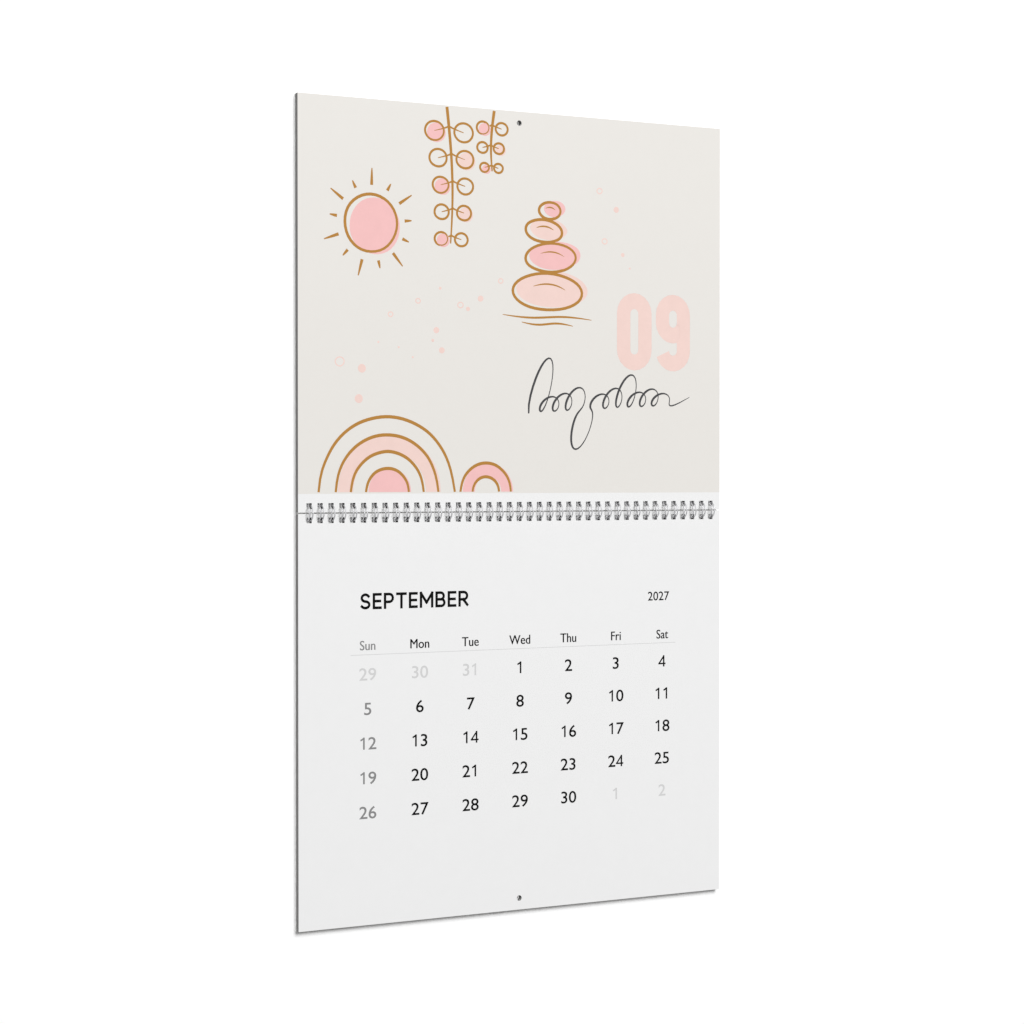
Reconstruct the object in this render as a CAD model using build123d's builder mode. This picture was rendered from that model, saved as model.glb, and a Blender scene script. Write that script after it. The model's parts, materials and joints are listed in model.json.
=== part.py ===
from build123d import *

import os
from math import cos, degrees, floor, pi, radians, sin

# A wall calendar bound with a twin-loop wire, hung open on a nail.
# X runs to the right, Y towards the wall and Z up. The origin is the centre of the hang hole near the top
# edge, at the rear face of the front cover, so the leaves lie at negative Y. Everything is in millimetres.

# Sheets
sheet_width = 355.6
sheet_height = 292.1
leaf_thickness = 0.3
cover_thickness = 0.5
turned_pile_thickness = 3.7
coming_pile_thickness = 3.4

# The two halves, whose bound edges face each other across a narrow gap
bound_gap = 1.0

# Punched holes for the wire, three to the inch
hole_pitch = 25.4 / 3
hole_size = 4.0
hole_inset = 4.55
least_end_margin = 8.0

# Hang holes, one near the free edge of every sheet
hang_hole_radius = 2.0
hang_hole_inset = 8.5

# Twin-loop wire
wire_radius = 0.45
wire_bend_radius = 0.9
wire_side_clearance = 0.35
wire_end_clearance = 0.65
loop_tip_gap = 0.4

# Depths along Y
rear_face = 0.0
cover_front = rear_face - cover_thickness
turned_front = cover_front - turned_pile_thickness
coming_front = cover_front - coming_pile_thickness
month_front = coming_front - leaf_thickness
middle_depth = (rear_face + month_front) / 2

# Heights along Z
gap_height = hang_hole_inset - sheet_height - bound_gap / 2
UPPER = 1
LOWER = -1

# The end holes keep their margin and one hole lies on the centreline
holes_each_side = floor((sheet_width / 2 - least_end_margin) / hole_pitch)
hole_count = 2 * holes_each_side + 1

# The loops clear the holes at their sides and at the edge farthest from the gap
loop_wire_spacing = hole_size - 2 * (wire_radius + wire_side_clearance)
hole_far_edge = bound_gap / 2 + hole_inset + hole_size / 2
loop_radius = hole_far_edge - wire_end_clearance - wire_radius

# Each loop starts a bend above the spine and stops short of it, with room for its round tip
loop_tip_radius = loop_wire_spacing / 2
loop_opening = wire_bend_radius + 2 * wire_radius + loop_tip_gap + loop_tip_radius
loop_sweep = 360 - degrees(loop_opening / loop_radius)
spine_depth = middle_depth + loop_radius
spine_height = gap_height - wire_bend_radius


def depth_plane(depth):
    """Upright plane at a depth, facing the viewer, with its own Y along the part's Z."""
    return Plane.XZ.offset(-depth)


def punched_sheet(half):
    """Outline of one sheet of the upper or lower half, with its row of wire holes and its hang hole."""
    bound_edge = gap_height + half * bound_gap / 2
    with Locations((0, bound_edge + half * sheet_height / 2)):
        Rectangle(sheet_width, sheet_height)
    with Locations((0, bound_edge + half * hole_inset)):
        with GridLocations(hole_pitch, hole_pitch, hole_count, 1):
            Rectangle(hole_size, hole_size, mode=Mode.SUBTRACT)
    with Locations((0, bound_edge + half * (sheet_height - hang_hole_inset))):
        Circle(hang_hole_radius, mode=Mode.SUBTRACT)


def loop_point(x, travel):
    """Point on a loop after so many degrees from the rear, over the top and round the front."""
    depth = middle_depth + loop_radius * cos(radians(travel))
    height = gap_height + loop_radius * sin(radians(travel))
    return (x, depth, height)


os.makedirs("parts", exist_ok=True)

# Cover of the closed calendar, turned right round to the back of the upper half
with BuildPart() as front_cover:
    with BuildSketch(depth_plane(rear_face)):
        punched_sheet(UPPER)
    extrude(amount=cover_thickness)
front_cover.part.label = "front_cover"
export_step(front_cover.part, "parts/front_cover.step")

# Leaves of the past months, lying together as one pile
with BuildPart() as turned_leaves:
    with BuildSketch(depth_plane(cover_front)):
        punched_sheet(UPPER)
    extrude(amount=turned_pile_thickness)
turned_leaves.part.label = "turned_leaves"
export_step(turned_leaves.part, "parts/turned_leaves.step")

# Stiff sheet at the back of the lower half
with BuildPart() as back_cover:
    with BuildSketch(depth_plane(rear_face)):
        punched_sheet(LOWER)
    extrude(amount=cover_thickness)
back_cover.part.label = "back_cover"
export_step(back_cover.part, "parts/back_cover.step")

# Leaves of the months to come, lying together as one pile
with BuildPart() as coming_leaves:
    with BuildSketch(depth_plane(cover_front)):
        punched_sheet(LOWER)
    extrude(amount=coming_pile_thickness)
coming_leaves.part.label = "coming_leaves"
export_step(coming_leaves.part, "parts/coming_leaves.step")

# The leaf of the month shown, in front of the others
with BuildPart() as month_leaf:
    with BuildSketch(depth_plane(coming_front)):
        punched_sheet(LOWER)
    extrude(amount=leaf_thickness)
month_leaf.part.label = "month_leaf"
export_step(month_leaf.part, "parts/month_leaf.step")

# One tooth of the wire: half a bridge of the spine, a twin loop with a round tip, half a bridge again
loop_left = -loop_wire_spacing / 2
loop_right = loop_wire_spacing / 2
bend_rise = wire_bend_radius * (1 - cos(radians(45)))
tip_depth, tip_height = loop_point(0, loop_sweep)[1:]
tip_depth -= loop_tip_radius * sin(radians(loop_sweep))
tip_height += loop_tip_radius * cos(radians(loop_sweep))

with BuildPart() as wire_tooth:
    with BuildLine() as wire_path:
        Line(
            (-hole_pitch / 2, spine_depth, spine_height),
            (loop_left - wire_bend_radius, spine_depth, spine_height),
        )
        ThreePointArc(
            (loop_left - wire_bend_radius, spine_depth, spine_height),
            (loop_left - bend_rise, spine_depth, spine_height + bend_rise),
            (loop_left, spine_depth, gap_height),
        )
        ThreePointArc(
            loop_point(loop_left, 0),
            loop_point(loop_left, loop_sweep / 2),
            loop_point(loop_left, loop_sweep),
        )
        ThreePointArc(
            loop_point(loop_left, loop_sweep),
            (0, tip_depth, tip_height),
            loop_point(loop_right, loop_sweep),
        )
        ThreePointArc(
            loop_point(loop_right, loop_sweep),
            loop_point(loop_right, loop_sweep / 2),
            loop_point(loop_right, 0),
        )
        ThreePointArc(
            (loop_right, spine_depth, gap_height),
            (loop_right + bend_rise, spine_depth, spine_height + bend_rise),
            (loop_right + wire_bend_radius, spine_depth, spine_height),
        )
        Line(
            (loop_right + wire_bend_radius, spine_depth, spine_height),
            (hole_pitch / 2, spine_depth, spine_height),
        )
    wire_start = Plane(origin=(-hole_pitch / 2, spine_depth, spine_height), z_dir=(1, 0, 0))
    with BuildSketch(wire_start):
        Circle(wire_radius)
    sweep(path=wire_path.line)

# The whole binding is one length of wire: the teeth follow each other along the spine
with BuildPart() as wire_binding:
    with GridLocations(hole_pitch, hole_pitch, hole_count, 1):
        add(wire_tooth.part)
wire_binding.part.label = "wire_binding"
export_step(wire_binding.part, "parts/wire_binding.step")
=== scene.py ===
# %% [markdown]
# # A wall calendar, hung open
#
# The real object is a stack of printed paper leaves between two card covers, held by one twin-loop wire.
# It hangs from a nail. The leaves of the past months are turned up, so a picture shows above and a month
# grid shows below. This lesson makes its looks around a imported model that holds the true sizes: the punched
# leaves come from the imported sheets, the wire is spun from a circle, and the print is thin ink made from
# curves and letters.

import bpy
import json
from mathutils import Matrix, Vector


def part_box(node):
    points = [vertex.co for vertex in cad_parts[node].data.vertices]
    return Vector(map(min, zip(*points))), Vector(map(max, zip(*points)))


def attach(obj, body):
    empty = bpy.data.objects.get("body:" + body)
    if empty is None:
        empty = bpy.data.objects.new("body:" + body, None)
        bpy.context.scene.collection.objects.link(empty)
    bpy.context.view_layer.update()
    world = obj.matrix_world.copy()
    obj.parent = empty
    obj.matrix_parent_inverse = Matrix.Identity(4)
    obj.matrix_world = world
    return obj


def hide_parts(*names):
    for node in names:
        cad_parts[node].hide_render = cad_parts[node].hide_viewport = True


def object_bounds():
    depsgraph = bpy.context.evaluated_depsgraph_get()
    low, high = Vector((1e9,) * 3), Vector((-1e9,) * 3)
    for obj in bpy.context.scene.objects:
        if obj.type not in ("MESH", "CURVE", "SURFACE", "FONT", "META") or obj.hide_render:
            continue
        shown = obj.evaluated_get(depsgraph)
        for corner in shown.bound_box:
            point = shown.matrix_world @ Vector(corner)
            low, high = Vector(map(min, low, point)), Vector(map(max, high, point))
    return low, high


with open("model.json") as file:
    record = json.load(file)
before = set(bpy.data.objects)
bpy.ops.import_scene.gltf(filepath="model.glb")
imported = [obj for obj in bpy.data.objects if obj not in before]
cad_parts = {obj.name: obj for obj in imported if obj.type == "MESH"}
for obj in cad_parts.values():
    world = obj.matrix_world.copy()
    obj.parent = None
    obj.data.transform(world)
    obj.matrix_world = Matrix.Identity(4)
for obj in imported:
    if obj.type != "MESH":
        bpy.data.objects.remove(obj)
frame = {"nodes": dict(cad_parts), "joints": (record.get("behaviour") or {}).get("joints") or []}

import calendar
import json
import math
import random

import bmesh
import bpy
from mathutils import Matrix, Vector

cad_low, cad_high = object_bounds()
print("CAD box", tuple(cad_low), tuple(cad_high))

# %% [markdown]
# ## Where things are
#
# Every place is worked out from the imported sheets: the front face that the viewer sees, the gap between the
# two halves, and the depth at which each pile lies. Sizes of our own are written in millimetres and turned
# to metres with one factor.

# %% Main planes
MM = 0.001

turned_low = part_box("turned_leaves")[0]
coming_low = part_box("coming_leaves")[0]
month_low, month_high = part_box("month_leaf")
wire_low, wire_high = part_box("wire_binding")

front_y = month_low.y
rear_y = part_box("back_cover")[1].y
gap_z = (turned_low.z + month_high.z) / 2
sheet_width = month_high.x - month_low.x
sheet_height = month_high.z - month_low.z
leaf_turn = next(joint for joint in frame["joints"] if joint["name"] == "leaf_turn")
turn_axis = Vector(leaf_turn["pos_m"])
print("gap at z", round(gap_z, 4), "sheet", round(sheet_width, 4), "by", round(sheet_height, 4))

# %% [markdown]
# ## The camera
#
# The viewer stands to the left, a little above the binding, with a long lens. The camera's place is given
# from the middle of the gap on the front face, and its heading is turned from straight at the wall.

# %% Camera
CAMERA_FROM_GAP = Vector((-0.8829, -1.5343, 0.0258))
HEADING = math.radians(29.746)
PITCH = math.radians(-0.847)

camera = bpy.data.objects.new("camera", bpy.data.cameras.new("camera"))
camera.data.lens = 84.88
camera.data.sensor_width = 36.0
camera.location = Vector((0, front_y, gap_z)) + CAMERA_FROM_GAP
camera.rotation_euler = (math.pi / 2 + PITCH, 0, -HEADING)
bpy.context.scene.collection.objects.link(camera)
bpy.context.scene.camera = camera
bpy.context.scene.view_settings.view_transform = "Standard"
print("camera", tuple(round(value, 3) for value in camera.location))

# %% [markdown]
# ## Helpers for materials
#
# Colours are written as the hex values that a paint chart would give. Blender's shaders work in linear
# light, so one function turns them. A second one makes a material with its shader, and a third adds a node,
# sets its properties, and fills or links its sockets.


# %% Colour and node helpers
def linear(hex_colour):
    """Linear RGBA of an sRGB hex colour such as 'F0F0EE'."""
    channels = [int(hex_colour[place:place + 2], 16) / 255 for place in (0, 2, 4)]
    curve = [c / 12.92 if c <= 0.04045 else ((c + 0.055) / 1.055) ** 2.4 for c in channels]
    return (*curve, 1.0)


def add_node(material, kind, settings=None, sockets=None):
    """A new node with its properties set, and its sockets filled with values or linked from outputs."""
    tree = material.node_tree
    node = tree.nodes.new(kind)
    for name, value in (settings or {}).items():
        setattr(node, name, value)
    for name, value in (sockets or {}).items():
        if isinstance(value, bpy.types.NodeSocket):
            tree.links.new(value, node.inputs[name])
        else:
            node.inputs[name].default_value = value
    return node


def new_material(name):
    """An empty node material and its Principled shader."""
    material = bpy.data.materials.new(name)
    material.use_nodes = True
    return material, material.node_tree.nodes["Principled BSDF"]


# %% [markdown]
# ## Paper and card
#
# Heavy uncoated paper is smooth and nearly white. Up close it has a faint cloudy tone, because the fibres
# settle unevenly, and a fine tooth that softens its sheen. Real fibres are about 0.03 mm thick, far too fine
# to show, so the tooth is drawn ten times as coarse. A long soft wave stands for the way a hanging
# sheet is never quite flat.


# %% Paper material
FIBRE_TOOTH = 0.3 * MM
CLOUD_SIZE = 9 * MM
SHEET_WAVE = 90 * MM


def pressed_sheet(name, light_hex, dark_hex, roughness, tooth, wave):
    """Paper or card: two close tones in soft clouds, with a fine tooth and a long wave as bump."""
    material, shader = new_material(name)
    place = add_node(material, "ShaderNodeTexCoord").outputs["Object"]
    clouds = add_node(material, "ShaderNodeTexNoise", None,
                      {"Vector": place, "Scale": 1 / CLOUD_SIZE, "Detail": 4.0, "Roughness": 0.6})
    tone = add_node(material, "ShaderNodeMix", {"data_type": "RGBA"})
    tone.inputs[6].default_value = linear(light_hex)
    tone.inputs[7].default_value = linear(dark_hex)
    material.node_tree.links.new(clouds.outputs["Fac"], tone.inputs["Factor"])
    material.node_tree.links.new(tone.outputs[2], shader.inputs["Base Color"])
    fibres = add_node(material, "ShaderNodeTexNoise", None,
                      {"Vector": place, "Scale": 1 / FIBRE_TOOTH, "Detail": 3.0})
    waves = add_node(material, "ShaderNodeTexNoise", None,
                     {"Vector": place, "Scale": 1 / SHEET_WAVE, "Detail": 1.0})
    long_bump = add_node(material, "ShaderNodeBump", None,
                         {"Height": waves.outputs["Fac"], "Strength": wave, "Distance": 0.6 * MM})
    fine_bump = add_node(material, "ShaderNodeBump", None,
                         {"Height": fibres.outputs["Fac"], "Strength": tooth, "Distance": 0.02 * MM,
                          "Normal": long_bump.outputs["Normal"]})
    material.node_tree.links.new(fine_bump.outputs["Normal"], shader.inputs["Normal"])
    shader.inputs["Roughness"].default_value = roughness
    shader.inputs["IOR"].default_value = 1.5
    shader.inputs["Specular IOR Level"].default_value = 0.3
    return material


grid_paper = pressed_sheet("uncoated_paper_calendered", "F3F3F3", "F0F0F0", 0.62, 0.35, 0.5)
print("material", grid_paper.name)
picture_paper = pressed_sheet("coated_paper_warm_tint", "E9E6E1", "E7E4DF", 0.5, 0.15, 0.5)
cover_card = pressed_sheet("coated_card_satin", "F0F0EE", "ECECEA", 0.42, 0.2, 0.3)
cut_edge = pressed_sheet("guillotined_paper_edge", "EEEDEA", "DAD9D6", 0.85, 1.0, 0.0)
# The hole walls are painted dark grey as painted shade. The cut paper is white, but deep shade is all that
# shows in the holes.
punched_edge_painted_shade = pressed_sheet("punched_paper_edge_painted_shade", "3C3A38", "2E2C2A", 0.9, 1.0, 0.0)
print("papers", picture_paper.name, cover_card.name, cut_edge.name, punched_edge_painted_shade.name)

# %% [markdown]
# ## Printing inks
#
# The calendar is printed with flat inks. Offset ink sinks a little into the paper and takes on its clouds,
# so each ink varies slightly in strength, and it is a touch smoother than the sheet around it. The gold is a
# plain ochre tint, not metal.


# %% Ink material
def offset_ink(name, hex_colour, roughness):
    """Flat printing ink whose strength varies a little with the paper under it."""
    material, shader = new_material(name)
    place = add_node(material, "ShaderNodeTexCoord").outputs["Object"]
    strength = add_node(material, "ShaderNodeTexNoise", None,
                        {"Vector": place, "Scale": 1 / CLOUD_SIZE, "Detail": 6.0, "Roughness": 0.7})
    spread = add_node(material, "ShaderNodeMapRange", None,
                      {"Value": strength.outputs["Fac"], "To Min": 0.94, "To Max": 1.06})
    ink = add_node(material, "ShaderNodeHueSaturation", None,
                   {"Color": linear(hex_colour), "Value": spread.outputs["Result"]})
    material.node_tree.links.new(ink.outputs["Color"], shader.inputs["Base Color"])
    tooth = add_node(material, "ShaderNodeTexNoise", None, {"Vector": place, "Scale": 1 / FIBRE_TOOTH})
    bump = add_node(material, "ShaderNodeBump", None,
                    {"Height": tooth.outputs["Fac"], "Strength": 0.2, "Distance": 0.02 * MM})
    material.node_tree.links.new(bump.outputs["Normal"], shader.inputs["Normal"])
    shader.inputs["Roughness"].default_value = roughness
    shader.inputs["IOR"].default_value = 1.5
    shader.inputs["Specular IOR Level"].default_value = 0.05
    return material


inks = {
    "black": offset_ink("black_offset_ink", "060606", 0.6),
    "grey": offset_ink("grey_offset_ink", "8C8C8C", 0.5),
    "pale_grey": offset_ink("pale_grey_offset_ink", "D6D6D6", 0.5),
    "charcoal": offset_ink("charcoal_offset_ink", "4C4C4E", 0.5),
    "gold": offset_ink("ochre_gold_offset_ink", "B98644", 0.45),
    "pale_pink": offset_ink("pale_pink_offset_ink", "F4D7CF", 0.5),
    "deep_pink": offset_ink("deep_pink_offset_ink", "F6C4C3", 0.5),
}
print("inks", ", ".join(inks))

# %% [markdown]
# ## The binding wire's finish
#
# Twin-loop wire is drawn steel with a thin silver-coloured coating. Drawing leaves faint lines along the
# wire, and the forming machine scuffs it, so the highlight is broken rather than mirror-sharp.

# %% Wire material
DRAW_LINE = 0.25 * MM


def coated_wire():
    """Silver-coloured coated steel, satin, with fine scuffs."""
    material, shader = new_material("silver_coated_drawn_steel")
    place = add_node(material, "ShaderNodeTexCoord").outputs["Object"]
    scuffs = add_node(material, "ShaderNodeTexNoise", None,
                      {"Vector": place, "Scale": 1 / DRAW_LINE, "Detail": 3.0, "Roughness": 0.65})
    gloss = add_node(material, "ShaderNodeMapRange", None,
                     {"Value": scuffs.outputs["Fac"], "To Min": 0.42, "To Max": 0.56})
    bump = add_node(material, "ShaderNodeBump", None,
                    {"Height": scuffs.outputs["Fac"], "Strength": 0.15, "Distance": 0.02 * MM})
    material.node_tree.links.new(gloss.outputs["Result"], shader.inputs["Roughness"])
    material.node_tree.links.new(bump.outputs["Normal"], shader.inputs["Normal"])
    shader.inputs["Base Color"].default_value = linear("B2B2B4")
    shader.inputs["Metallic"].default_value = 1.0
    return material


wire_finish = coated_wire()
print("material", wire_finish.name)

# %% [markdown]
# ## Leaves
#
# Every leaf is struck with the same punch: a rectangle, a row of square holes for the wire and a round
# hole to hang by. The imported sheet has exactly that outline, so a leaf is a merged copy of it, pressed thin
# and moved to its depth. Cutting the holes again would only copy the same shape.
#
# A printed tint is part of the leaf's own face. The face is cut along a straight line where the tint stops,
# short of the binding, and everything beyond the cut takes the tinted paper. The walls of the small holes
# are painted dark grey as painted shade: the cut paper there is white, but the eye finds only deep shade in
# them.

# %% Leaf maker
LEAF_THICKNESS = 0.3 * MM
TINT_MARGIN = 13.5 * MM
FACE_LIMIT = 0.9


def punched_leaf(node, front, thickness, shift=(0.0, 0.0), trim=0.0):
    """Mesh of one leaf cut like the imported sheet, between front and front + thickness."""
    low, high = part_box(node)
    mesh = bmesh.new()
    mesh.from_mesh(frame["nodes"][node].data)
    bmesh.ops.remove_doubles(mesh, verts=mesh.verts, dist=0.001 * MM)
    bmesh.ops.translate(mesh, verts=mesh.verts, vec=(0, -low.y, 0))
    narrow = 1 - trim / (high.x - low.x)
    bmesh.ops.scale(mesh, verts=mesh.verts, vec=(narrow, thickness / (high.y - low.y), 1))
    bmesh.ops.translate(mesh, verts=mesh.verts, vec=(shift[0], front, shift[1]))
    return mesh


PAPER, TINT, CUT, HOLE_WALL_SHADE = range(4)
LEAF_FINISHES = [grid_paper, picture_paper, cut_edge, punched_edge_painted_shade]
OUTLINE_MARGIN = 1.0 * MM


def paint_faces(mesh):
    """Broad faces take the paper, the outline the cut edge, and the walls of the holes a dark painted shade.
    """
    half_width = max(vertex.co.x for vertex in mesh.verts)
    top = max(vertex.co.z for vertex in mesh.verts)
    foot = min(vertex.co.z for vertex in mesh.verts)
    for face in mesh.faces:
        centre = face.calc_center_median()
        outer = (abs(centre.x) > half_width - OUTLINE_MARGIN or centre.z > top - OUTLINE_MARGIN
                 or centre.z < foot + OUTLINE_MARGIN)
        edge = CUT if outer else HOLE_WALL_SHADE
        face.material_index = PAPER if abs(face.normal.y) > FACE_LIMIT else edge


def tint_face(mesh, facing, upper):
    """Gives the tinted paper to one broad face beyond the margin, on the upper or lower half."""
    side = 1 if upper else -1
    edge = gap_z + side * TINT_MARGIN
    everything = mesh.verts[:] + mesh.edges[:] + mesh.faces[:]
    bmesh.ops.bisect_plane(mesh, geom=everything, plane_co=(0, 0, edge), plane_no=(0, 0, 1))
    for face in mesh.faces:
        beyond = side * (face.calc_center_median().z - edge) > 0
        if beyond and face.normal.y * facing > FACE_LIMIT:
            face.material_index = TINT


def make_piece(name, mesh, materials, smooth=False):
    """A new object at the origin whose place is in its mesh."""
    data = bpy.data.meshes.new(name)
    for face in mesh.faces:
        face.smooth = smooth
    mesh.to_mesh(data)
    mesh.free()
    for material in materials:
        data.materials.append(material)
    piece = bpy.data.objects.new(name, data)
    bpy.context.scene.collection.objects.link(piece)
    return piece


# %% [markdown]
# ## The leaf of this month, and the piles
#
# The leaf in front carries the month grid on one side and the next picture on the other. Behind it hang the
# leaves to come, and above the binding stand the leaves already turned. Loose leaves never lie quite square,
# so each one behind the front is shifted by a hair and a little air is left between them.

# %% Month leaf
leaf_mesh = punched_leaf("month_leaf", month_low.y, month_high.y - month_low.y)
paint_faces(leaf_mesh)
tint_face(leaf_mesh, facing=1, upper=False)
month_leaf = make_piece("month_leaf_sheet", leaf_mesh, LEAF_FINISHES)
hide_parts("month_leaf")
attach(month_leaf, "month_leaf")
print("month leaf triangles", sum(len(face.vertices) - 2 for face in month_leaf.data.polygons))

# %% Piles of leaves
LEAF_STRAY = 0.15 * MM
AIR_IN_FRONT = 0.13 * MM
TURNED_LEAVES = 8
COMING_LEAVES = 9


def leaf_pile(name, node, leaves, front_gap, seed):
    """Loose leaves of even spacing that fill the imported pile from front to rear."""
    low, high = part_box(node)
    stray = random.Random(seed)
    pitch = (high.y - low.y - front_gap - LEAF_THICKNESS) / (leaves - 1)
    pile = bmesh.new()
    for number in range(leaves):
        first = number == 0
        amount = 0.0 if first else LEAF_STRAY
        shift = (stray.uniform(-amount, amount), 0.0)
        leaf = punched_leaf(node, low.y + front_gap + number * pitch, LEAF_THICKNESS, shift, 2 * amount)
        paint_faces(leaf)
        if first and node == "turned_leaves":
            tint_face(leaf, facing=-1, upper=True)
        loose = bpy.data.meshes.new("one_leaf")
        leaf.to_mesh(loose)
        leaf.free()
        pile.from_mesh(loose)
        bpy.data.meshes.remove(loose)
    piece = make_piece(name, pile, LEAF_FINISHES)
    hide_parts(node)
    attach(piece, "hung_body")
    print(name, leaves, "leaves at a pitch of", round(pitch / MM, 3), "mm")
    return piece


turned_pile = leaf_pile("turned_leaf_pile", "turned_leaves", TURNED_LEAVES, 0.0, seed=4)
coming_pile = leaf_pile("coming_leaf_pile", "coming_leaves", COMING_LEAVES, AIR_IN_FRONT, seed=7)

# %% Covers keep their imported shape
for cover in ("front_cover", "back_cover"):
    frame["nodes"][cover].data.materials.clear()
    frame["nodes"][cover].data.materials.append(cover_card)
print("covers finished in", cover_card.name)

# %% [markdown]
# ## The twin-loop wire
#
# The binding is one length of wire bent into a comb of double loops and closed round the sheets. Between
# loops it runs straight along the spine, bends up, goes round through both halves, turns back on itself in a
# round tip and comes back beside the first strand. Each of those moves is a spin of one small circle, so one
# tooth is spun from the circle and the others are copies of it, joined where the straight runs meet.

# %% Wire sizes
WIRE_RADIUS = 0.45 * MM
WIRE_BEND = 0.9 * MM
STRAND_SPACING = 2.4 * MM
HOLE_PITCH = 25.4 / 3 * MM
TIP_GAP = 0.4 * MM
WIRE_SIDES = 10
BEND_STEPS = 5
LOOP_STEPS = 44
TIP_STEPS = 10

loop_centre = Vector((0, (wire_low.y + wire_high.y) / 2, gap_z))
loop_radius = (wire_high.y - wire_low.y) / 2 - WIRE_RADIUS
tip_radius = STRAND_SPACING / 2
loop_opening = WIRE_BEND + 2 * WIRE_RADIUS + TIP_GAP + tip_radius
loop_sweep = 2 * math.pi - loop_opening / loop_radius
tooth_count = round((wire_high.x - wire_low.x) / HOLE_PITCH)
bridge = HOLE_PITCH / 2 - tip_radius - WIRE_BEND
print(tooth_count, "teeth, loop radius", round(loop_radius / MM, 2), "mm, sweep",
      round(math.degrees(loop_sweep), 1), "degrees")


# %% One tooth
def drawn_on(mesh, ends, distance):
    """Extends the wire straight along X and returns its new end."""
    made = bmesh.ops.extrude_edge_only(mesh, edges=ends)["geom"]
    points = [part for part in made if isinstance(part, bmesh.types.BMVert)]
    bmesh.ops.translate(mesh, verts=points, vec=(distance, 0, 0))
    return [part for part in made if isinstance(part, bmesh.types.BMEdge)]


def bent_on(mesh, ends, centre, axis, angle, steps):
    """Carries the wire's end round an axis and returns its new end."""
    points = list({vertex for edge in ends for vertex in edge.verts})
    made = bmesh.ops.spin(mesh, geom=points + ends, cent=centre, axis=axis, angle=angle, steps=steps,
                          dvec=(0, 0, 0), use_merge=False, use_duplicate=False)["geom_last"]
    return [part for part in made if isinstance(part, bmesh.types.BMEdge)]


def wire_tooth():
    """One tooth of the comb about X = 0, from the middle of one straight run to the middle of the next."""
    spine = loop_centre + Vector((0, loop_radius, -WIRE_BEND))
    start = Matrix.Translation(spine + Vector((-HOLE_PITCH / 2, 0, 0))) @ Matrix.Rotation(math.pi / 2, 4, "Y")
    mesh = bmesh.new()
    bmesh.ops.create_circle(mesh, cap_ends=False, radius=WIRE_RADIUS, segments=WIRE_SIDES, matrix=start)
    end = drawn_on(mesh, mesh.edges[:], bridge)
    rise = Vector((-tip_radius - WIRE_BEND, spine.y, gap_z))
    end = bent_on(mesh, end, rise, (0, -1, 0), math.pi / 2, BEND_STEPS)
    end = bent_on(mesh, end, loop_centre, (1, 0, 0), loop_sweep, LOOP_STEPS)
    outward = Vector((0, math.cos(loop_sweep), math.sin(loop_sweep)))
    end = bent_on(mesh, end, loop_centre + loop_radius * outward, outward, math.pi, TIP_STEPS)
    end = bent_on(mesh, end, loop_centre, (-1, 0, 0), loop_sweep, LOOP_STEPS)
    fall = Vector((tip_radius + WIRE_BEND, spine.y, gap_z))
    end = bent_on(mesh, end, fall, (0, -1, 0), math.pi / 2, BEND_STEPS)
    drawn_on(mesh, end, bridge)
    return mesh


tooth = wire_tooth()
tooth_data = bpy.data.meshes.new("tooth")
tooth.to_mesh(tooth_data)
tooth.free()
print("one tooth has", len(tooth_data.polygons), "faces")

# %% The whole comb
comb = bmesh.new()
for number in range(tooth_count):
    place = (number - (tooth_count - 1) / 2) * HOLE_PITCH
    before = len(comb.verts)
    comb.from_mesh(tooth_data)
    comb.verts.ensure_lookup_table()
    bmesh.ops.translate(comb, verts=comb.verts[before:], vec=(place, 0, 0))
bmesh.ops.remove_doubles(comb, verts=comb.verts, dist=0.01 * MM)
open_ends = [edge for edge in comb.edges if edge.is_boundary]
bmesh.ops.holes_fill(comb, edges=open_ends, sides=0)
bmesh.ops.recalc_face_normals(comb, faces=comb.faces)
wire = make_piece("twin_loop_wire", comb, [wire_finish], smooth=True)
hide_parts("wire_binding")
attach(wire, "hung_body")
print("wire faces", len(wire.data.polygons), "open ends closed", len(open_ends) // WIRE_SIDES)

# %% [markdown]
# ## Ink on paper
#
# Print is a film of ink far thinner than the leaf. Here each ink is one thin closed mesh: letters and
# outlines are made as flat curves, turned to meshes, and laid on the face they are printed on. Each ink
# stands 0.008 mm higher than the one printed before it, so that overprints cover cleanly.
#
# A sheet's print is laid out in millimetres: x from the centreline and y from the gap between the halves,
# as a printer would measure it.

# %% Ink layers
INK_ORDER = ("pale_grey", "pale_pink", "deep_pink", "grey", "gold", "charcoal", "black")
INK_STEP = 0.008 * MM
INK_FILM = 0.012 * MM
STACK_STEP = 0.08
STACK_TURNS = 6


def curve_mesh(curve):
    """Mesh of a curve or text, in the curve's own units."""
    holder = bpy.data.objects.new("holder", curve)
    bpy.context.scene.collection.objects.link(holder)
    bpy.context.view_layer.update()
    shape = bpy.data.meshes.new_from_object(holder.evaluated_get(bpy.context.evaluated_depsgraph_get()))
    bpy.data.objects.remove(holder)
    return shape


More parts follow.
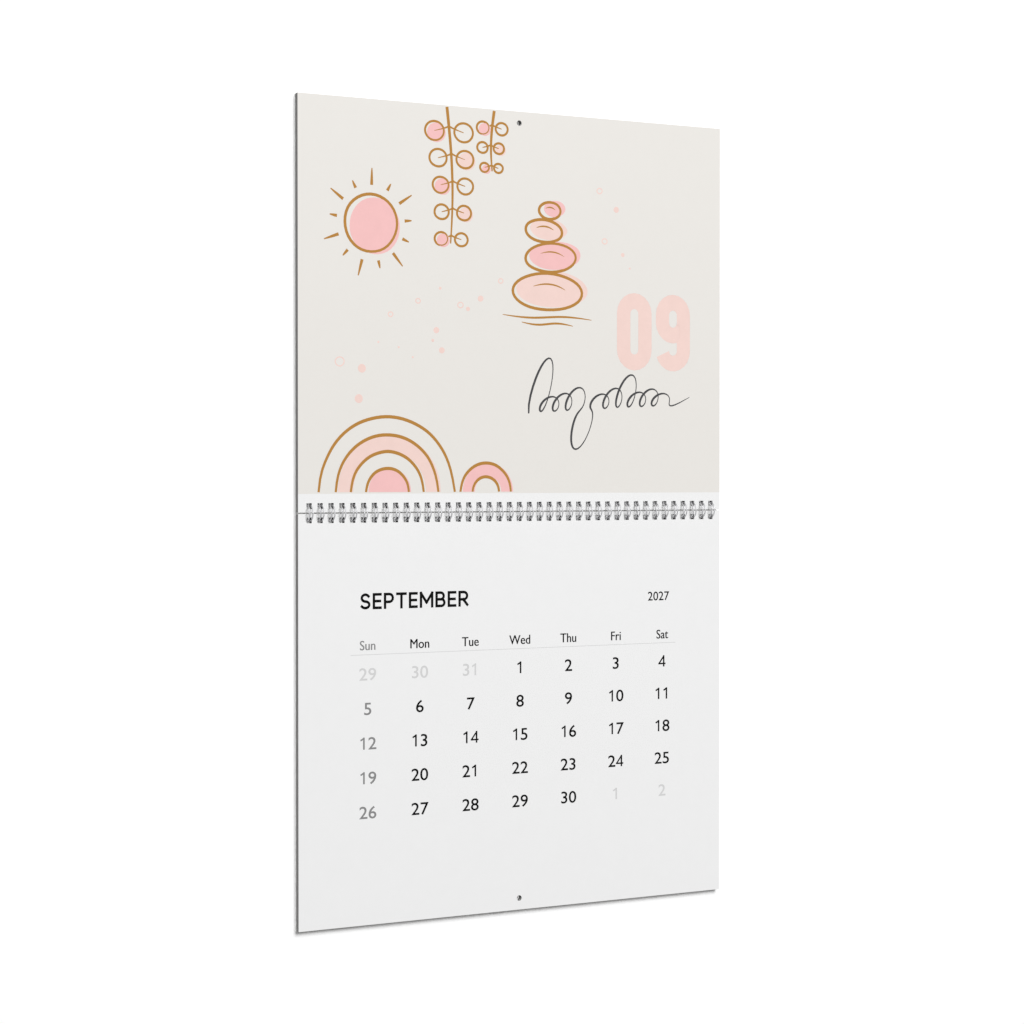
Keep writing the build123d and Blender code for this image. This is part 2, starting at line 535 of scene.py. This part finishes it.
class Printing:
    """Collects the marks of each ink for one printed face, then lays them on it."""

    def __init__(self):
        self.marks = {}
        self.count = 0

    def add(self, ink, shape, matrix=Matrix.Identity(4)):
        """Adds a mark one unit thick. Marks differ a little in height, so that no two tops coincide."""
        mesh = self.marks.setdefault(ink, bmesh.new())
        shape.transform(matrix)
        lowest = min(vertex.co.z for vertex in shape.vertices)
        height = 1 + STACK_STEP * (self.count % STACK_TURNS)
        shape.transform(Matrix.Diagonal((1, 1, height, 1)) @ Matrix.Translation((0, 0, -lowest)))
        self.count += 1
        mesh.from_mesh(shape)
        bpy.data.meshes.remove(shape)

    def lay(self, name, face, body):
        """Presses every ink flat on a face given by its matrix, and makes one piece for each ink."""
        for ink in INK_ORDER:
            if ink not in self.marks:
                continue
            mesh = self.marks[ink]
            top = INK_FILM + INK_ORDER.index(ink) * INK_STEP
            depths = [vertex.co.z for vertex in mesh.verts]
            span = max(depths) - min(depths)
            flat = Matrix.Diagonal((MM, MM, top / span, 1)) @ Matrix.Translation((0, 0, -min(depths)))
            bmesh.ops.transform(mesh, matrix=face @ flat, verts=mesh.verts)
            bmesh.ops.remove_doubles(mesh, verts=mesh.verts, dist=0.0005 * MM)
            bmesh.ops.recalc_face_normals(mesh, faces=mesh.faces)
            piece = make_piece(f"{name}_{ink}_ink", mesh, [inks[ink]])
            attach(piece, body)
            print(piece.name, "faces", len(piece.data.polygons))


# %% [markdown]
# ## Lines and patches
#
# A line is a curve with its own width at each point, drawn as a tube and later pressed flat. A patch is a
# closed smooth curve with its inside filled. Straight letters use the same line with square ends.


# %% Lines and patches
def spline_curve(points, closed, smooth=True, widths=None):
    curve = bpy.data.curves.new("line", "CURVE")
    curve.dimensions = "3D"
    curve.resolution_u = 3
    spline = curve.splines.new("NURBS" if smooth else "POLY")
    spline.points.add(len(points) - 1)
    for place, point in enumerate(points):
        spline.points[place].co = (point[0], point[1], 0, 1)
        spline.points[place].radius = widths[place] if widths else 1.0
    spline.use_cyclic_u = closed
    if smooth:
        spline.order_u = min(4, len(points))
        spline.use_endpoint_u = not closed
    return curve


def line(printing, ink, points, width, closed=False, taper=None, smooth=True):
    """A drawn line of a width in millimetres; taper gives the share of it at each point."""
    curve = spline_curve(points, closed, smooth, taper)
    curve.bevel_depth = width / 2
    curve.bevel_resolution = 1
    curve.use_fill_caps = True
    printing.add(ink, curve_mesh(curve), Matrix.Diagonal((1, 1, 1 / width, 1)))


def patch(printing, ink, points, smooth=True):
    """A filled shape inside a closed line."""
    curve = spline_curve(points, True, smooth)
    curve.dimensions = "2D"
    curve.fill_mode = "BOTH"
    curve.extrude = 0.5
    printing.add(ink, curve_mesh(curve))


def oval(centre, across, up, tilt=0.0, wobble=0.0, seed=0, count=12, start=0.0, sweep=360.0):
    """Points round an oval or part of one, a little uneven if asked."""
    uneven = random.Random(seed)
    steps = count if sweep == 360.0 else count - 1
    turn = math.radians(tilt)
    points = []
    for place in range(count):
        angle = math.radians(start + sweep * place / steps)
        reach = 1 + uneven.uniform(-wobble, wobble)
        x = across * reach * math.cos(angle)
        y = up * reach * math.sin(angle)
        points.append((centre[0] + x * math.cos(turn) - y * math.sin(turn),
                       centre[1] + x * math.sin(turn) + y * math.cos(turn)))
    return points


def square_stroke(printing, ink, points, width):
    """A stroke of even width whose two ends are cut square, half a width beyond its end points."""
    ends = []
    for tip, inner in ((points[0], points[1]), (points[-1], points[-2])):
        along = (Vector(tip) - Vector(inner)).normalized() * width / 2
        ends.append(tuple(Vector(tip) + along))
    line(printing, ink, [ends[0], *points[1:-1], ends[1]], width, smooth=False)


print("helpers for lines, patches and strokes are ready")

# %% [markdown]
# ## Letters and numbers
#
# Small words are set in Blender's own built-in type, measured once from a capital letter and a figure. Its
# figure one is a bare bar, so ones are drawn as a stem with a short flag. Thickening an outline closes its
# sharp corners. So the figure four and the bold title are drawn in strokes of one width, and small words are
# struck twice, a hair apart.


# %% Type
def type_curve(words, size, weight, align):
    curve = bpy.data.curves.new("type", "FONT")
    curve.body = words
    curve.size = size
    curve.offset = weight
    curve.align_x = align
    curve.resolution_u = 4
    curve.extrude = 0.5
    return curve


def top_of(letter):
    """Height of a letter in type of size one."""
    shape = curve_mesh(type_curve(letter, 1.0, 0.0, "LEFT"))
    height = max(vertex.co.y for vertex in shape.vertices)
    bpy.data.meshes.remove(shape)
    return height


CAP_SHARE = top_of("H")
FIGURE_SHARE = top_of("0")
FIGURE_STEP = 0.5
STEM_SHARE = 0.13
print("a capital is", round(CAP_SHARE, 3), "and a figure", round(FIGURE_SHARE, 3), "of the type size")


def set_words(printing, ink, words, cap_height, at, squeeze, weight):
    """Sets words centred on a point of their baseline, struck twice, a weight apart, for thicker stems."""
    for slip in (-weight / 2, weight / 2):
        shape = curve_mesh(type_curve(words, cap_height / CAP_SHARE, 0.0, "CENTER"))
        place_on = Matrix.Translation((at[0] + slip, at[1], 0))
        printing.add(ink, shape, place_on @ Matrix.Diagonal((squeeze, 1, 1, 1)))


def set_figures(printing, ink, figures, height, at, squeeze, weight):
    """Sets a number centred on a point of its baseline, with every figure in an equal cell."""
    size = height / FIGURE_SHARE
    cell = FIGURE_STEP * size * squeeze
    stem = STEM_SHARE * height + 2 * weight
    foot = at[1] + stem / 2
    top = at[1] + height - stem / 2
    for place, figure in enumerate(figures):
        x = at[0] + (place - (len(figures) - 1) / 2) * cell
        if figure == "4":
            upright = x + 0.17 * height
            left = (x - 0.33 * height, at[1] + 0.27 * height)
            right = (x + 0.3 * height, left[1])
            square_stroke(printing, ink, [(upright, top), (upright, foot)], stem)
            square_stroke(printing, ink, [left, right], stem * 0.85)
            line(printing, ink, [(upright, top), left], stem * 0.85, smooth=False)
        elif figure == "1":
            upright = x + 0.05 * height
            flag_end = (x - 0.2 * height, top - 0.14 * height)
            square_stroke(printing, ink, [flag_end, (upright, top)], stem * 0.9)
            square_stroke(printing, ink, [(upright, top), (upright, foot)], stem)
        else:
            shape = curve_mesh(type_curve(figure, size, weight, "CENTER"))
            place_on = Matrix.Translation((x, at[1], 0)) @ Matrix.Diagonal((squeeze, 1, 1, 1))
            printing.add(ink, shape, place_on)


# %% Stroke capitals
def bowl(low, high, reach):
    """A stroke that leaves a stem, turns round and comes back to it."""
    radius = (high - low) / 2
    turn = oval((reach - radius, low + radius), radius, radius, count=9, start=90, sweep=-180)
    return [(0, high), *turn, (0, low)]


STEM = [(0, 0), (0, 1)]
CURL = oval((0.33, 0.745), 0.3, 0.255, count=10, start=30, sweep=240)
TAIL = oval((0.33, 0.245), 0.33, 0.245, count=10, start=90, sweep=-240)
CAPITALS = {
    "B": (0.67, [STEM, bowl(0.5, 1, 0.61), bowl(0, 0.5, 0.67)]),
    "C": (0.84, [oval((0.47, 0.5), 0.47, 0.5, count=16, start=48, sweep=264)]),
    "E": (0.55, [STEM, [(0, 1), (0.55, 1)], [(0, 0.5), (0.5, 0.5)], [(0, 0), (0.55, 0)]]),
    "M": (0.95, [STEM, [(0, 1), (0.475, 0.3)], [(0.475, 0.3), (0.95, 1)], [(0.95, 0), (0.95, 1)]]),
    "O": (0.95, [oval((0.475, 0.5), 0.475, 0.5, count=25, sweep=359.9)]),
    "P": (0.65, [STEM, bowl(0.42, 1, 0.65)]),
    "R": (0.69, [STEM, bowl(0.45, 1, 0.65), [(0.32, 0.45), (0.66, 0.04)]]),
    "S": (0.66, [CURL + TAIL[1:]]),
    "T": (0.69, [[(0, 1), (0.69, 1)], [(0.345, 1), (0.345, 0)]]),
}


TITLE_STROKE = 0.17


def bold_title(printing, ink, word, height, width, left, baseline):
    """Sets a word in stroke capitals between a left edge and a total width."""
    stroke = TITLE_STROKE * height
    scale = height - stroke
    letters = sum(CAPITALS[letter][0] * scale + stroke for letter in word)
    space = (width - letters) / (len(word) - 1)
    x = left + stroke / 2
    for letter in word:
        share, strokes = CAPITALS[letter]
        for points in strokes:
            placed = [(x + px * scale, baseline + stroke / 2 + py * scale) for px, py in points]
            square_stroke(printing, ink, placed, stroke)
        x += share * scale + stroke + space


print("stroke capitals", "".join(CAPITALS))

# %% [markdown]
# ## The month grid
#
# The grid is worked out from the calendar itself: seven columns starting on Sunday, one row for each week,
# with the days of the months before and after in pale grey and the Sundays in mid grey.

# %% Month grid
COLUMN_PITCH = 41.5
ROW_PITCH = 24.55
FIRST_BASELINE = -118.7
WEEKDAY_BASELINE = -97.3
RULE_HEIGHT = -100.4
RULE_HALF_LENGTH = 137.3
RULE_WEIGHT = 0.4
TITLE_BASELINE = -68.5
TITLE_LEFT = -129.8
TITLE_STEP = 9.73
TITLE_HEIGHT = 11.5
SMALL_HEIGHT = 6.6
DAY_HEIGHT = 8.6
DAY_SQUEEZE = 1.14
WEEKDAY_SQUEEZE = 0.92
YEAR_CENTRE = 121.8
WEEKDAYS = ("Sun", "Mon", "Tue", "Wed", "Thu", "Fri", "Sat")
GRID_CENTRE = 0.7


def bar(printing, ink, low, high):
    """A solid rectangle between two corners."""
    mesh = bmesh.new()
    middle = ((low[0] + high[0]) / 2, (low[1] + high[1]) / 2, 0)
    size = Matrix.Diagonal((high[0] - low[0], high[1] - low[1], 1, 1))
    bmesh.ops.create_cube(mesh, size=1.0, matrix=Matrix.Translation(middle) @ size)
    shape = bpy.data.meshes.new("bar")
    mesh.to_mesh(shape)
    mesh.free()
    printing.add(ink, shape)


def month_grid(year, month):
    """Everything printed on one grid page."""
    page = Printing()
    title = calendar.month_name[month].upper()
    bold_title(page, "black", title, TITLE_HEIGHT, TITLE_STEP * len(title), TITLE_LEFT, TITLE_BASELINE)
    set_figures(page, "black", str(year), SMALL_HEIGHT, (YEAR_CENTRE, TITLE_BASELINE + 0.3), 1.02, 0.06)
    bar(page, "pale_grey", (-RULE_HALF_LENGTH, RULE_HEIGHT - RULE_WEIGHT), (RULE_HALF_LENGTH, RULE_HEIGHT))
    for column, name in enumerate(WEEKDAYS):
        x = GRID_CENTRE + (column - 3) * COLUMN_PITCH
        ink = "grey" if column == 0 else "black"
        set_words(page, ink, name, SMALL_HEIGHT, (x, WEEKDAY_BASELINE), WEEKDAY_SQUEEZE, 0.25)
    for row, week in enumerate(calendar.Calendar(firstweekday=6).monthdatescalendar(year, month)):
        for column, day in enumerate(week):
            at = (GRID_CENTRE + (column - 3) * COLUMN_PITCH, FIRST_BASELINE - row * ROW_PITCH)
            ink = "grey" if column == 0 else "black"
            if day.month != month:
                ink = "pale_grey"
            set_figures(page, ink, str(day.day), DAY_HEIGHT, at, DAY_SQUEEZE, 0.1)
    return page


def face_matrix(y):
    """Lays a sheet's millimetre layout upright on a face at depth y, seen from the front."""
    return Matrix.Translation((0, y, gap_z)) @ Matrix.Rotation(math.pi / 2, 4, "X")


YEAR = 2027
month_grid(YEAR, 9).lay("september_grid", face_matrix(month_low.y), "month_leaf")
month_grid(YEAR, 10).lay("october_grid", face_matrix(coming_low.y + AIR_IN_FRONT), "hung_body")

# %% [markdown]
# ## The picture
#
# The picture is a plain generic design in flat pinks with a loose gold line: arches standing on the lower
# edge, a sun, smooth stones over ripples, sprigs of round leaves that hang from the top, and a drift of dots
# and rings. The pinks are printed slightly off their gold outlines, as on a cheerful screen print.

# %% Arches
PRINT_SLIP = 1.8
GOLD_LINE = 2.2


def arches(printing, foot, radii, bands):
    """Half rings standing on a line, with pink bands between some of them."""
    for inner, outer, ink in bands:
        middle = (foot[0] + PRINT_SLIP, foot[1])
        outside = oval(middle, outer, outer, count=25, sweep=180.0)
        inside = oval(middle, inner, inner, count=25, start=180.0, sweep=-180.0) if inner else []
        patch(printing, ink, outside + inside, smooth=False)
    for radius in radii:
        swell = [0.8 + 0.3 * math.sin(math.pi * place / 14) for place in range(15)]
        ring = oval(foot, radius, radius, wobble=0.008, seed=int(radius), count=15, sweep=180.0)
        line(printing, "gold", ring, GOLD_LINE, taper=swell)


# %% Sun and stones
def sun(printing, centre, radius):
    """A round disc, its outline printed a little off, and short tapering rays."""
    patch(printing, "deep_pink", oval((centre[0] + 3, centre[1] - 2), radius, radius, wobble=0.02, seed=3))
    line(printing, "gold", oval(centre, radius * 1.03, radius, wobble=0.02, seed=5), GOLD_LINE, closed=True)
    for ray in range(13):
        angle = 2 * math.pi * ray / 13 + 0.1
        reach = radius * (1.85 if ray % 2 else 1.55)
        ends = [(centre[0] + r * math.cos(angle), centre[1] + r * math.sin(angle))
                for r in (radius * 1.28, (radius * 1.28 + reach) / 2, reach)]
        line(printing, "gold", ends, 2.3, taper=[1.0, 0.9, 0.35])


def stones(printing, foot):
    """Four smooth stones one on another, over two ripples."""
    sizes = ((31, 14, 0), (23, 11, 3), (16.5, 8.5, -3), (9.5, 6.5, 2))
    height = foot[1]
    for number, (across, up, lean) in enumerate(sizes):
        centre = (foot[0] + lean, height + up)
        ink = "pale_pink" if number % 2 == 0 else "deep_pink"
        slipped = (centre[0] + 4, centre[1] + 1.5)
        patch(printing, ink, oval(slipped, across, up, tilt=lean, wobble=0.05, seed=20 + number))
        edge = oval(centre, across, up, tilt=lean, wobble=0.03, seed=30 + number)
        line(printing, "gold", edge, GOLD_LINE, closed=True)
        vein = oval((centre[0], centre[1] - up * 0.3), across * 0.6, up * 0.72, start=35, sweep=95, count=5)
        line(printing, "gold", vein, 1.3, taper=[0.3, 0.9, 1.0, 0.9, 0.3])
        height += 2 * up
    for drop, half in ((5, 38), (10, 22)):
        ripple = [(foot[0] + half * side, foot[1] - drop + 1.2 * math.sin(4 * side)) for side in
                  (-1, -0.6, -0.2, 0.2, 0.6, 1)]
        line(printing, "gold", ripple, 1.6, taper=[0.3, 0.9, 1.0, 1.0, 0.9, 0.3])


# %% Sprigs, dots and flourish
def sprig(printing, top, drop, sway, pairs, leaf):
    """A stem that hangs from the top edge, with pairs of round leaves that grow smaller downwards."""
    stem = [(top[0] + sway * math.sin(share * math.pi * 0.8), top[1] - drop * share)
            for share in (0, 0.25, 0.5, 0.75, 1)]
    line(printing, "gold", stem, GOLD_LINE, taper=[1.1, 1.0, 0.9, 0.75, 0.5])
    for pair in range(pairs):
        share = (pair + 0.7) / pairs
        x = top[0] + sway * math.sin(share * math.pi * 0.8)
        y = top[1] - drop * share
        size = leaf * (1.1 - 0.4 * share)
        for side in (-1, 1):
            centre = (x + side * size * 1.5, y - size * 0.5)
            if (pair + (side > 0)) % 2 == 0:
                ink = "pale_pink" if pair % 2 else "deep_pink"
                patch(printing, ink, oval((centre[0] + 1.6, centre[1] - 1.2), size, size * 0.92))
            line(printing, "gold", oval(centre, size, size * 0.9, wobble=0.02, seed=pair), 1.7, closed=True)
            stalk = [(x, y), (x + side * size * 0.3, y - size * 0.2), (centre[0], centre[1])]
            line(printing, "gold", stalk, 1.5, taper=[1.0, 0.8, 0.4])


def drift(printing, low, high, count, seed):
    """Small dots and rings scattered in a slanting band, none touching another."""
    scatter = random.Random(seed)
    laid = []
    for number in range(count):
        along = (number + scatter.random()) / count
        x = low[0] + (high[0] - low[0]) * along + scatter.uniform(-16, 16)
        y = low[1] + (high[1] - low[1]) * along + scatter.uniform(-20, 20)
        size = scatter.choice((0.9, 1.3, 1.8, 2.6, 3.6))
        if any(math.hypot(x - other[0], y - other[1]) < size + other[2] + 3 for other in laid):
            continue
        laid.append((x, y, size))
        if number % 3:
            patch(printing, "pale_pink", oval((x, y), size, size * 0.95, wobble=0.06, seed=number, count=8))
        else:
            ring = oval((x, y), size + 1.2, size + 0.9, wobble=0.06, seed=number, count=8)
            line(printing, "pale_pink", ring, 0.9, closed=True)


LOOP_SIZES = (21, 6, 7, 9, -15, 6, 8, 13, 6, 7, 5)


def flourish(printing, left, right, height):
    """A pen line of loops of many sizes, some of them below the line, that runs out in a long tail."""
    steps = 8
    pitch = (right - left) / len(LOOP_SIZES)
    points, widths = [], []
    for number, size in enumerate(LOOP_SIZES):
        for step in range(steps):
            turn = 2 * math.pi * step / steps
            rise = size * (1 - math.cos(turn))
            x = left + pitch * (number + step / steps) - 5.5 * math.sin(turn) + 0.3 * rise
            points.append((x, height + rise + 0.06 * (x - left)))
            widths.append(0.85 + 0.4 * math.sin(turn))
    end = height + 0.06 * (right - left)
    points += [(right + 4, end - 1), (right + 12, end + 2), (right + 22, end + 7)]
    widths += [0.8, 0.6, 0.25]
    line(printing, "charcoal", points, 1.5, taper=widths)


print("helpers for the picture's motifs are ready")

# %% [markdown]
# ## The number of the month
#
# A big pale number stands on the right of the picture: plain heavy figures of one stroke width.


# %% Heavy figures
def rounded_ring(centre, half_width, half_height):
    """A closed path with round ends, as wide as its two end arcs."""
    straight = half_height - half_width
    top = oval((centre[0], centre[1] + straight), half_width, half_width, count=11, sweep=180)
    foot = oval((centre[0], centre[1] - straight), half_width, half_width, count=11, start=180, sweep=180)
    return top + foot


FIGURE_HALF = 9.5
FIGURE_STROKE = 12.0
FIGURE_PITCH = 34.8


def heavy_number(printing, ink, number, left, foot, height):
    """Draws the figures 0, 1 and 9 as heavy strokes."""
    inset = FIGURE_STROKE / 2
    for place, figure in enumerate(number):
        x = left + inset + FIGURE_HALF + place * FIGURE_PITCH
        high, low = foot + height - inset, foot + inset
        if figure == "0":
            ring = rounded_ring((x, (high + low) / 2), FIGURE_HALF, (high - low) / 2)
            line(printing, ink, ring, FIGURE_STROKE, closed=True, smooth=False)
        elif figure == "1":
            square_stroke(printing, ink, [(x, low), (x, high)], FIGURE_STROKE)
            square_stroke(printing, ink, [(x - 8, high - 5), (x, high - 2)], FIGURE_STROKE * 0.8)
        elif figure == "9":
            bottom = high - 0.54 * (high - low)
            ring = rounded_ring((x, (high + bottom) / 2), FIGURE_HALF, (high - bottom) / 2)
            line(printing, ink, ring, FIGURE_STROKE, closed=True, smooth=False)
            hook = oval((x, low + FIGURE_HALF), FIGURE_HALF, FIGURE_HALF, count=11, sweep=-165)
            back = [(x + FIGURE_HALF, high - FIGURE_HALF), *hook]
            line(printing, ink, back, FIGURE_STROKE, smooth=False)


print("heavy figures are ready")

# %% [markdown]
# ## Two pictures from one set of motifs
#
# The picture above shows on the front turned leaf. The next one is on the back of the leaf in front, so it
# is laid out as it will look once that leaf is up, and then carried back round the leaf's hinge. It uses the
# same motifs the other way round and a number of its own.

# %% Pictures
PANEL_TOP = 291.5
PANEL_FOOT = 14.6
FLOURISH_LENGTH = 120
FLOURISH_BASELINE = 72
NUMBER_FOOT = 105.5
NUMBER_HEIGHT = 58.2


def picture(number, flip):
    """A picture page; flip is 1, or -1 to lay the motifs out the other way round."""
    page = Printing()
    arches(page, (-108 * flip, PANEL_FOOT), (17, 29, 41, 54), ((0, 17, "deep_pink"), (29, 41, "pale_pink")))
    arches(page, (-28 * flip, PANEL_FOOT), (11, 21), ((11, 21, "deep_pink"),))
    sun(page, (-121 * flip, 205), 21)
    stones(page, (24 * flip, 148))
    sprig(page, (-60 * flip, PANEL_TOP), 98, 5 * flip, 5, 7.6)
    sprig(page, (-21 * flip, PANEL_TOP), 44, -3 * flip, 3, 5.2)
    drift(page, (-150 * flip, 88), (-30 * flip, 165), 22, seed=11)
    drift(page, (62 * flip, 235), (92 * flip, 190), 7, seed=12)
    number_left, flourish_left = (84.5, 8) if flip > 0 else (-146, -152)
    heavy_number(page, "pale_pink", number, number_left, NUMBER_FOOT, NUMBER_HEIGHT)
    flourish(page, flourish_left, flourish_left + FLOURISH_LENGTH, FLOURISH_BASELINE)
    return page


picture("09", 1).lay("picture", face_matrix(turned_low.y), "hung_body")

hinge = Matrix.Translation(turn_axis)
turned_face = 2 * turn_axis.y - month_high.y
carried_back = hinge @ Matrix.Rotation(math.pi, 4, "X") @ hinge.inverted()
picture("10", -1).lay("next_picture", carried_back @ face_matrix(turned_face), "month_leaf")

# %% [markdown]
# ## Light and backdrop
#
# One very large soft lamp stands far off in front, above and a little to the right, so that the sheets are
# evenly lit and the left edges fall into shade. A smaller lamp straight behind lights the covers' backs, and
# grazes nothing that faces forward. The world adds a weak fill. To the eye, and to the shiny wire, the
# surroundings are plain white.
#
# The calendar hangs on a white wall. The wall shows only to the camera and only from its front: it takes
# the soft shadow of the sheets, but blocks nothing when the calendar is seen from behind.

# %% World
world = bpy.data.worlds.new("studio")
world.use_nodes = True
bpy.context.scene.world = world
fill = world.node_tree.nodes["Background"]
fill.inputs["Color"].default_value = (1, 1, 1, 1)
FILL_LIGHT = 0.2
ray = add_node(world, "ShaderNodeLightPath")
seen = add_node(world, "ShaderNodeMath", {"operation": "MAXIMUM"})
world.node_tree.links.new(ray.outputs["Is Camera Ray"], seen.inputs[0])
world.node_tree.links.new(ray.outputs["Is Glossy Ray"], seen.inputs[1])
clear = add_node(world, "ShaderNodeMath", {"operation": "MAXIMUM"})
world.node_tree.links.new(seen.outputs["Value"], clear.inputs[0])
world.node_tree.links.new(ray.outputs["Is Transmission Ray"], clear.inputs[1])
level = add_node(world, "ShaderNodeMapRange", None, {"Value": clear.outputs["Value"], "To Min": FILL_LIGHT})
world.node_tree.links.new(level.outputs["Result"], fill.inputs["Strength"])
print("fill light", FILL_LIGHT)

# %% Lamp
LAMP_DISTANCE = 8.0
LAMP_SIZE = 5.0
LAMP_WATTS = 640.0
LAMP_SIDE = math.radians(8)
LAMP_RISE = math.radians(32)

middle = (cad_low + cad_high) / 2
aim = Vector((math.sin(LAMP_SIDE) * math.cos(LAMP_RISE), -math.cos(LAMP_SIDE) * math.cos(LAMP_RISE),
              math.sin(LAMP_RISE)))
lamp = bpy.data.objects.new("soft_lamp", bpy.data.lights.new("soft_lamp", "AREA"))
lamp.data.shape = "DISK"
lamp.data.size = LAMP_SIZE
lamp.data.energy = LAMP_WATTS
lamp.location = middle + aim * LAMP_DISTANCE
lamp.rotation_euler = aim.to_track_quat("Z", "Y").to_euler()
bpy.context.scene.collection.objects.link(lamp)
print("lamp at", tuple(round(value, 2) for value in lamp.location))

# %% Rear lamp
REAR_LAMP_SIZE = 1.0
REAR_LAMP_WATTS = 420.0

rear_lamp = bpy.data.objects.new("rear_lamp", bpy.data.lights.new("rear_lamp", "AREA"))
rear_lamp.data.shape = "DISK"
rear_lamp.data.size = REAR_LAMP_SIZE
rear_lamp.data.energy = REAR_LAMP_WATTS
rear_lamp.location = middle + Vector((0, LAMP_DISTANCE, 0))
rear_lamp.rotation_euler = Vector((0, 1, 0)).to_track_quat("Z", "Y").to_euler()
bpy.context.scene.collection.objects.link(rear_lamp)
print("rear lamp at", tuple(round(value, 2) for value in rear_lamp.location))


# %% Wall and floor
WALL_AIR = 0.3 * MM
WALL_SPAN = 6.0
FLOOR_DROP = 1.6
WALL_WHITE = 1.1


def backdrop_paint():
    """Matt white that only the camera sees, and only from the front."""
    material, shader = new_material("matt_white_wall_paint")
    tree = material.node_tree
    shader.inputs["Base Color"].default_value = (WALL_WHITE, WALL_WHITE, WALL_WHITE, 1)
    shader.inputs["Roughness"].default_value = 1.0
    shader.inputs["Specular IOR Level"].default_value = 0.0
    path = add_node(material, "ShaderNodeLightPath")
    side = add_node(material, "ShaderNodeNewGeometry")
    front = add_node(material, "ShaderNodeMath", {"operation": "SUBTRACT", "use_clamp": True})
    tree.links.new(path.outputs["Is Camera Ray"], front.inputs[0])
    tree.links.new(side.outputs["Backfacing"], front.inputs[1])
    gone = add_node(material, "ShaderNodeBsdfTransparent")
    choice = add_node(material, "ShaderNodeMixShader", None, {"Fac": front.outputs["Value"]})
    tree.links.new(gone.outputs["BSDF"], choice.inputs[1])
    tree.links.new(shader.outputs["BSDF"], choice.inputs[2])
    tree.links.new(choice.outputs["Shader"], tree.nodes["Material Output"].inputs["Surface"])
    return material


wall_paint = backdrop_paint()


def backdrop(name, matrix):
    mesh = bmesh.new()
    bmesh.ops.create_grid(mesh, x_segments=1, y_segments=1, size=WALL_SPAN / 2, matrix=matrix)
    piece = make_piece(name, mesh, [wall_paint])
    return piece


upright = Matrix.Rotation(math.pi / 2, 4, "X")
backdrop("wall", Matrix.Translation((0, rear_y + WALL_AIR, middle.z)) @ upright)
backdrop("floor", Matrix.Translation((0, 0, middle.z - FLOOR_DROP)))
print("wall at y", round(rear_y + WALL_AIR, 5), "floor at z", round(middle.z - FLOOR_DROP, 3))
